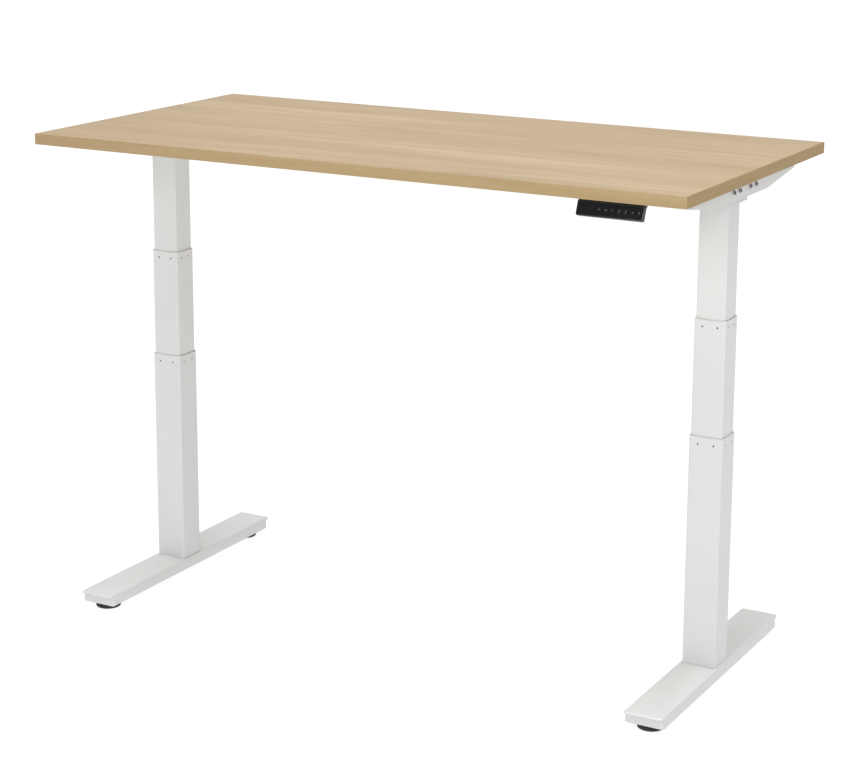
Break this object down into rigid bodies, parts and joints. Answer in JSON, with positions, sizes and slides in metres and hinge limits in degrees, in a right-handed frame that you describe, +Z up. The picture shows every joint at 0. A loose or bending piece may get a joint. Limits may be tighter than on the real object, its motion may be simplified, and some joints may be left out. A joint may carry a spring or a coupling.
{
  "type": "height adjustable standing desk",
  "caption": "Electric sit-stand desk: oak laminate top on telescopic square lifting columns with white T feet, under-top rails and a slanted handset with keys.",
  "frame": {"origin": "on the floor, under the middle of the tabletop", "axes": "+Z up, +X along the tabletop's length, the user stands at -Y"},
  "size_m": [1.6, 0.8, 1.157],
  "materials": {
    "oak_laminate": "satin oak laminate, grain along the top's length",
    "oak_edge_band": "satin edge band",
    "white_powder_coat": "fine powder coat, satin",
    "grey_guide_plastic": "moulded",
    "black_plastic": "fine texture",
    "gloss_black_panel": "polished",
    "spindle_steel": "rolled and greased",
    "zinc_bolt": "zinc plated",
    "motor_metal": "painted grey",
    "glide_rubber": "moulded"
  },
  "bodies": {
    "base": {"left_foot_bar": "white_powder_coat", "left_outer_tube": "white_powder_coat", "left_outer_bush": "grey_guide_plastic", "left_base_spindle": "spindle_steel", "right_foot_bar": "white_powder_coat", "right_outer_tube": "white_powder_coat", "right_outer_bush": "grey_guide_plastic", "right_base_spindle": "spindle_steel"},
    "top": {"left_inner_tube": "white_powder_coat", "left_lift_nut": "black_plastic", "left_column_head": "white_powder_coat", "left_gear_motor": "motor_metal", "left_side_bracket": "white_powder_coat", "left_rail_bolt_1": "zinc_bolt", "left_rail_bolt_2": "zinc_bolt", "left_rail_bolt_3": "zinc_bolt", "left_rail_bolt_4": "zinc_bolt", "left_edge_band": "oak_edge_band", "right_inner_tube": "white_powder_coat", "right_lift_nut": "black_plastic", "right_column_head": "white_powder_coat", "right_gear_motor": "motor_metal", "right_side_bracket": "white_powder_coat", "right_rail_bolt_1": "zinc_bolt", "right_rail_bolt_2": "zinc_bolt", "right_rail_bolt_3": "zinc_bolt", "right_rail_bolt_4": "zinc_bolt", "right_edge_band": "oak_edge_band", "front_rail": "white_powder_coat", "rear_rail": "white_powder_coat", "tabletop_board": "oak_laminate", "front_edge_band": "oak_edge_band", "rear_edge_band": "oak_edge_band", "control_box_shell": "black_plastic", "control_box_lid": "black_plastic", "handset_case": "black_plastic", "handset_panel": "gloss_black_panel", "handset_display": "gloss_black_panel"},
    "left_front_glide": {"left_front_glide": "glide_rubber"},
    "left_rear_glide": {"left_rear_glide": "glide_rubber"},
    "left_middle_stage": {"left_middle_tube": "white_powder_coat", "left_middle_bush": "grey_guide_plastic", "left_middle_plug": "black_plastic"},
    "left_middle_spindle": {"left_middle_spindle": "spindle_steel"},
    "left_drive_shaft": {"left_drive_shaft": "spindle_steel"},
    "right_front_glide": {"right_front_glide": "glide_rubber"},
    "right_rear_glide": {"right_rear_glide": "glide_rubber"},
    "right_middle_stage": {"right_middle_tube": "white_powder_coat", "right_middle_bush": "grey_guide_plastic", "right_middle_plug": "black_plastic"},
    "right_middle_spindle": {"right_middle_spindle": "spindle_steel"},
    "right_drive_shaft": {"right_drive_shaft": "spindle_steel"},
    "key_up": {"key_up": "gloss_black_panel"},
    "key_down": {"key_down": "gloss_black_panel"},
    "key_1": {"key_1": "gloss_black_panel"},
    "key_2": {"key_2": "gloss_black_panel"},
    "key_3": {"key_3": "gloss_black_panel"},
    "key_4": {"key_4": "gloss_black_panel"},
    "key_memory": {"key_memory": "gloss_black_panel"}
  },
  "joints": [
    {"name": "lift", "type": "slide", "parent": "base", "child": "top", "axis": [0, 0, 1], "range_m": [-0.49, 0.16]},
    {"name": "left_middle_lift", "type": "slide", "parent": "base", "child": "left_middle_stage", "axis": [0, 0, 1], "range_m": [-0.2451, 0.0801]},
    {"name": "left_spindle_spin", "type": "hinge", "parent": "left_middle_stage", "child": "left_middle_spindle", "pos_m": [-0.711, 0, 0.327], "axis": [0, 0, 1], "continuous": true},
    {"name": "left_shaft_spin", "type": "hinge", "parent": "top", "child": "left_drive_shaft", "pos_m": [-0.711, 0, 0.61], "axis": [0, 0, 1], "continuous": true},
    {"name": "right_middle_lift", "type": "slide", "parent": "base", "child": "right_middle_stage", "axis": [0, 0, 1], "range_m": [-0.2451, 0.0801]},
    {"name": "right_spindle_spin", "type": "hinge", "parent": "right_middle_stage", "child": "right_middle_spindle", "pos_m": [0.711, 0, 0.327], "axis": [0, 0, 1], "continuous": true},
    {"name": "right_shaft_spin", "type": "hinge", "parent": "top", "child": "right_drive_shaft", "pos_m": [0.711, 0, 0.61], "axis": [0, 0, 1], "continuous": true},
    {"name": "left_front_levelling", "type": "slide", "parent": "base", "child": "left_front_glide", "axis": [0, 0, -1], "range_m": [0, 0.012]},
    {"name": "left_rear_levelling", "type": "slide", "parent": "base", "child": "left_rear_glide", "axis": [0, 0, -1], "range_m": [0, 0.012]},
    {"name": "right_front_levelling", "type": "slide", "parent": "base", "child": "right_front_glide", "axis": [0, 0, -1], "range_m": [0, 0.012]},
    {"name": "right_rear_levelling", "type": "slide", "parent": "base", "child": "right_rear_glide", "axis": [0, 0, -1], "range_m": [0, 0.012]},
    {"name": "key_up_press", "type": "slide", "parent": "top", "child": "key_up", "axis": [0, 0.9397, -0.342], "range_m": [0, 0.0006], "stiffness_N_per_m": 900},
    {"name": "key_down_press", "type": "slide", "parent": "top", "child": "key_down", "axis": [0, 0.9397, -0.342], "range_m": [0, 0.0006], "stiffness_N_per_m": 900},
    {"name": "key_1_press", "type": "slide", "parent": "top", "child": "key_1", "axis": [0, 0.9397, -0.342], "range_m": [0, 0.0006], "stiffness_N_per_m": 900},
    {"name": "key_2_press", "type": "slide", "parent": "top", "child": "key_2", "axis": [0, 0.9397, -0.342], "range_m": [0, 0.0006], "stiffness_N_per_m": 900},
    {"name": "key_3_press", "type": "slide", "parent": "top", "child": "key_3", "axis": [0, 0.9397, -0.342], "range_m": [0, 0.0006], "stiffness_N_per_m": 900},
    {"name": "key_4_press", "type": "slide", "parent": "top", "child": "key_4", "axis": [0, 0.9397, -0.342], "range_m": [0, 0.0006], "stiffness_N_per_m": 900},
    {"name": "key_memory_press", "type": "slide", "parent": "top", "child": "key_memory", "axis": [0, 0.9397, -0.342], "range_m": [0, 0.0006], "stiffness_N_per_m": 900}
  ],
  "couplings": [
    {"joint": "left_middle_lift", "follows": "lift", "ratio": 0.5},
    {"joint": "left_spindle_spin", "follows": "lift", "rad_per_m": 392.7},
    {"joint": "left_shaft_spin", "follows": "lift", "rad_per_m": 392.7},
    {"joint": "right_middle_lift", "follows": "lift", "ratio": 0.5},
    {"joint": "right_spindle_spin", "follows": "lift", "rad_per_m": 392.7},
    {"joint": "right_shaft_spin", "follows": "lift", "rad_per_m": 392.7}
  ]
}
